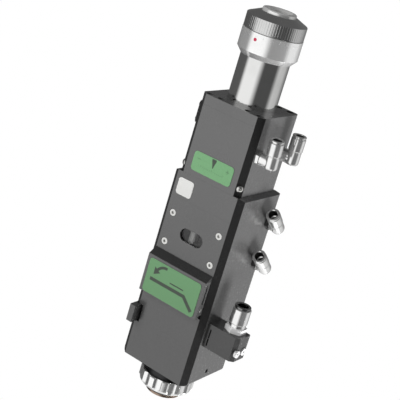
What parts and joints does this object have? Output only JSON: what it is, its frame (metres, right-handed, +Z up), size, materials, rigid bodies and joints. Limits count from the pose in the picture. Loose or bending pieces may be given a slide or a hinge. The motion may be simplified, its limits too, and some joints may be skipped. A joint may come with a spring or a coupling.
{
  "type": "laser cutting head",
  "caption": "Slim fibre laser cutting head: square housing, bayonet fibre receptacle, clamp lever, window drawer, gas and water fittings and a fluted nozzle ring.",
  "frame": {"origin": "centre of the rectangle of mounting holes, on the back face of the lower housing", "axes": "+Z up the beam towards the fibre, -Y out of the front face, +X to the viewer's right"},
  "size_m": [0.108, 0.0758, 0.3734],
  "materials": {
    "housing_grey": "fine matt anodised",
    "top_dark": "fine matt anodised",
    "black_anodised": "satin black",
    "polished_steel": "polished",
    "satin_steel": "fine turned",
    "nickel": "nickel plated",
    "screw_steel": "bright",
    "screw_black": "blackened",
    "red_paint": "filled paint",
    "label_green": "printed film",
    "badge_white": "printed film",
    "aluminium_inner": "satin",
    "optic_glass": "polished",
    "pane_clear": "smoked clear",
    "brass_part": "turned",
    "motor_case": "satin",
    "collar_plastic": "moulded",
    "ceramic_dark": "fired",
    "dark_nickel": "dark nickel plated",
    "nozzle_copper": "turned copper",
    "indicator_grey": "satin"
  },
  "bodies": {
    "head": {"receptacle_tube": "polished_steel", "receptacle_rim": "satin_steel", "index_ring": "polished_steel", "red_index_dot": "red_paint", "top_plate": "top_dark", "top_plate_screws": "screw_black", "upper_housing": "housing_grey", "adjuster_cover": "housing_grey", "adjuster_cover_screws": "screw_black", "collimator_clamp_screw": "screw_steel", "joint_screws": "screw_steel", "upper_label": "label_green", "blank_badge": "badge_white", "collimator_barrel": "aluminium_inner", "collimating_lens": "optic_glass", "collimator_retainer": "black_anodised", "focus_housing": "housing_grey", "window_housing": "housing_grey", "gas_channel_plug": "screw_black", "focus_motor": "motor_case", "guide_rod": "polished_steel", "front_plate": "housing_grey", "front_plate_screws": "screw_steel", "sight_window": "pane_clear", "lever_pins": "screw_steel", "window_cartridge": "aluminium_inner", "cartridge_window": "optic_glass", "cartridge_ring": "brass_part", "gas_block": "housing_grey", "gas_block_screws": "screw_steel", "gas_fitting": "nickel", "elbow_stems": "nickel", "nozzle_neck": "black_anodised", "ceramic_ring": "ceramic_dark", "nozzle": "nozzle_copper"},
    "collar": {"lock_collar": "dark_nickel", "bayonet_ring": "brass_part"},
    "carriage": {"focus_carriage": "aluminium_inner", "carriage_nut": "brass_part", "focus_lens": "optic_glass", "focus_retainer": "black_anodised", "focus_indicator": "indicator_grey"},
    "screw": {"lead_screw": "satin_steel"},
    "lever": {"clamp_lever": "housing_grey", "lever_label": "label_green"},
    "drawer": {"window_drawer": "housing_grey", "protective_window": "optic_glass", "drawer_ring": "brass_part"},
    "nozzle_ring": {"nozzle_lock_ring": "satin_steel"},
    "gas_collar": {"release_collar_gas": "collar_plastic"},
    "elbow_upper_front": {"elbow_upper_front": "nickel"},
    "collar_upper_front": {"release_collar_upper_front": "nickel"},
    "elbow_upper_rear": {"elbow_upper_rear": "nickel"},
    "collar_upper_rear": {"release_collar_upper_rear": "nickel"},
    "elbow_lower_top": {"elbow_lower_top": "nickel"},
    "collar_lower_top": {"release_collar_lower_top": "nickel"},
    "elbow_lower_bottom": {"elbow_lower_bottom": "nickel"},
    "collar_lower_bottom": {"release_collar_lower_bottom": "nickel"}
  },
  "joints": [
    {"name": "collar_turn", "type": "hinge", "parent": "head", "child": "collar", "pos_m": [0, -0.035, 0.234], "axis": [0, 0, 1], "range_deg": [0, 60]},
    {"name": "screw_turn", "type": "hinge", "parent": "head", "child": "screw", "pos_m": [-0.0264, -0.035, 0.04], "axis": [0, 0, 1], "range_deg": [-1441, 1081]},
    {"name": "focus_travel", "type": "slide", "parent": "head", "child": "carriage", "axis": [0, 0, 1], "range_m": [-0.008, 0.006]},
    {"name": "lever_swing", "type": "hinge", "parent": "head", "child": "lever", "pos_m": [0, -0.0707, -0.013], "axis": [1, 0, 0], "range_deg": [0, 80]},
    {"name": "drawer_slide", "type": "slide", "parent": "head", "child": "drawer", "axis": [-1, 0, 0], "range_m": [0, 0.045]},
    {"name": "lock_ring_turn", "type": "hinge", "parent": "head", "child": "nozzle_ring", "pos_m": [0, -0.035, -0.11], "axis": [0, 0, 1], "range_deg": [0, 90]},
    {"name": "gas_collar_press", "type": "slide", "parent": "head", "child": "gas_collar", "axis": [0, 0, -1], "range_m": [0, 0.001], "stiffness_N_per_m": 500, "springref_m": -0.002},
    {"name": "elbow_swivel_upper_front", "type": "hinge", "parent": "head", "child": "elbow_upper_front", "pos_m": [0.0455, -0.0548, 0.1302], "axis": [1, 0, 0], "continuous": true},
    {"name": "elbow_collar_press_upper_front", "type": "slide", "parent": "elbow_upper_front", "child": "collar_upper_front", "axis": [0, 0.0872, -0.9962], "range_m": [0, 0.0008], "stiffness_N_per_m": 300, "springref_m": -0.002},
    {"name": "elbow_swivel_upper_rear", "type": "hinge", "parent": "head", "child": "elbow_upper_rear", "pos_m": [0.0455, -0.0188, 0.131], "axis": [1, 0, 0], "continuous": true},
    {"name": "elbow_collar_press_upper_rear", "type": "slide", "parent": "elbow_upper_rear", "child": "collar_upper_rear", "axis": [0, 0.0087, -1], "range_m": [0, 0.0008], "stiffness_N_per_m": 300, "springref_m": -0.002},
    {"name": "elbow_swivel_lower_top", "type": "hinge", "parent": "head", "child": "elbow_lower_top", "pos_m": [0.047, -0.0086, 0.0654], "axis": [1, 0, 0], "continuous": true},
    {"name": "elbow_collar_press_lower_top", "type": "slide", "parent": "elbow_lower_top", "child": "collar_lower_top", "axis": [0, 0.7547, -0.6561], "range_m": [0, 0.0008], "stiffness_N_per_m": 300, "springref_m": -0.002},
    {"name": "elbow_swivel_lower_bottom", "type": "hinge", "parent": "head", "child": "elbow_lower_bottom", "pos_m": [0.047, -0.0086, 0.0254], "axis": [1, 0, 0], "continuous": true},
    {"name": "elbow_collar_press_lower_bottom", "type": "slide", "parent": "elbow_lower_bottom", "child": "collar_lower_bottom", "axis": [0, 0.7716, -0.6361], "range_m": [0, 0.0008], "stiffness_N_per_m": 300, "springref_m": -0.002}
  ],
  "couplings": [
    {"joint": "screw_turn", "follows": "focus_travel", "rad_per_m": 3141.6}
  ]
}
